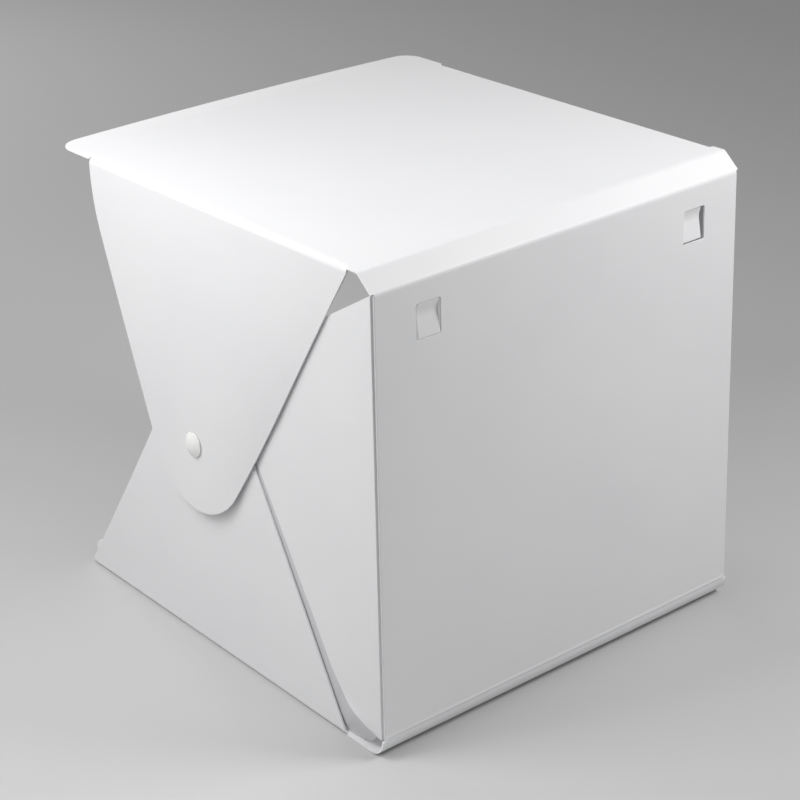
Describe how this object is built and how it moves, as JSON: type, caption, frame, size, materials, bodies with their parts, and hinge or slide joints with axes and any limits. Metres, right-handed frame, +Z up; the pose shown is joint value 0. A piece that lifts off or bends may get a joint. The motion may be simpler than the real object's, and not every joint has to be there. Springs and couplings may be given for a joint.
{
  "type": "light tent cube",
  "caption": "Folding white photo box, open at the front, with three-flap side walls closed by press studs, a rounded back, hook tongues and a light strip under the lid.",
  "frame": {"origin": "middle of the footprint, at the face the box rests on", "axes": "+Z up, the open front faces -Y and the back +Y, +X is on the right seen from the front"},
  "size_m": [0.2364, 0.244, 0.235],
  "materials": {
    "white_sheet": "satin",
    "stud_resin": "gloss",
    "foam_tape": "matte",
    "board_white": "satin",
    "inlet_metal": "satin",
    "led_package": "gloss"
  },
  "bodies": {
    "floor": {"floor_panel": "white_sheet"},
    "back": {"back_panel": "white_sheet"},
    "lid": {"lid_panel": "white_sheet", "light_strip_tape": "foam_tape", "light_strip_board": "board_white", "light_strip_inlet": "inlet_metal", "led_01": "led_package", "led_02": "led_package", "led_03": "led_package", "led_04": "led_package", "led_05": "led_package", "led_06": "led_package", "led_07": "led_package", "led_08": "led_package", "led_09": "led_package", "led_10": "led_package", "led_11": "led_package", "led_12": "led_package", "led_13": "led_package", "led_14": "led_package", "led_15": "led_package", "led_16": "led_package", "led_17": "led_package", "led_18": "led_package", "led_19": "led_package", "led_20": "led_package"},
    "top_flap_right": {"top_flap_right": "white_sheet", "stud_outer_cap_right": "stud_resin", "stud_socket_right": "stud_resin"},
    "bottom_flap_right": {"bottom_flap_right": "white_sheet", "stud_nipple_right": "stud_resin", "stud_inner_cap_right": "stud_resin"},
    "back_flap_right": {"back_flap_right": "white_sheet"},
    "hook_tongue_right": {"hook_tongue_right": "white_sheet"},
    "top_flap_left": {"top_flap_left": "white_sheet", "stud_outer_cap_left": "stud_resin", "stud_socket_left": "stud_resin"},
    "bottom_flap_left": {"bottom_flap_left": "white_sheet", "stud_nipple_left": "stud_resin", "stud_inner_cap_left": "stud_resin"},
    "back_flap_left": {"back_flap_left": "white_sheet"},
    "hook_tongue_left": {"hook_tongue_left": "white_sheet"}
  },
  "joints": [
    {"name": "back_fold", "type": "hinge", "parent": "floor", "child": "back", "pos_m": [0, 0.122, 0.0097], "axis": [-1, 0, 0], "range_deg": [0, 90]},
    {"name": "lid_fold", "type": "hinge", "parent": "back", "child": "lid", "pos_m": [0, 0.1115, 0.235], "axis": [-1, 0, 0], "range_deg": [0, 90]},
    {"name": "top_flap_right_fold", "type": "hinge", "parent": "lid", "child": "top_flap_right", "pos_m": [0.113, 0, 0.235], "axis": [0, -1, 0], "range_deg": [0, 90]},
    {"name": "bottom_flap_right_fold", "type": "hinge", "parent": "floor", "child": "bottom_flap_right", "pos_m": [0.113, 0, 0], "axis": [0, 1, 0], "range_deg": [0, 45]},
    {"name": "back_flap_right_fold", "type": "hinge", "parent": "back", "child": "back_flap_right", "pos_m": [0.1115, 0.1211, 0], "axis": [0, 0, -1], "range_deg": [0, 50]},
    {"name": "hook_tongue_right_flex", "type": "hinge", "parent": "back", "child": "hook_tongue_right", "pos_m": [0.0816, 0.1211, 0.2003], "axis": [1, 0, 0], "range_deg": [-5, 25], "stiffness_Nm_per_rad": 0.02},
    {"name": "top_flap_left_fold", "type": "hinge", "parent": "lid", "child": "top_flap_left", "pos_m": [-0.113, 0, 0.235], "axis": [0, 1, 0], "range_deg": [0, 90]},
    {"name": "bottom_flap_left_fold", "type": "hinge", "parent": "floor", "child": "bottom_flap_left", "pos_m": [-0.113, 0, 0], "axis": [0, -1, 0], "range_deg": [0, 45]},
    {"name": "back_flap_left_fold", "type": "hinge", "parent": "back", "child": "back_flap_left", "pos_m": [-0.1115, 0.1211, 0], "axis": [0, 0, 1], "range_deg": [0, 50]},
    {"name": "hook_tongue_left_flex", "type": "hinge", "parent": "back", "child": "hook_tongue_left", "pos_m": [-0.0816, 0.1211, 0.2003], "axis": [1, 0, 0], "range_deg": [-5, 25], "stiffness_Nm_per_rad": 0.02}
  ],
  "couplings": [
    {"joint": "bottom_flap_right_fold", "follows": "top_flap_right_fold", "ratio": 0.5},
    {"joint": "bottom_flap_left_fold", "follows": "top_flap_left_fold", "ratio": 0.5}
  ]
}
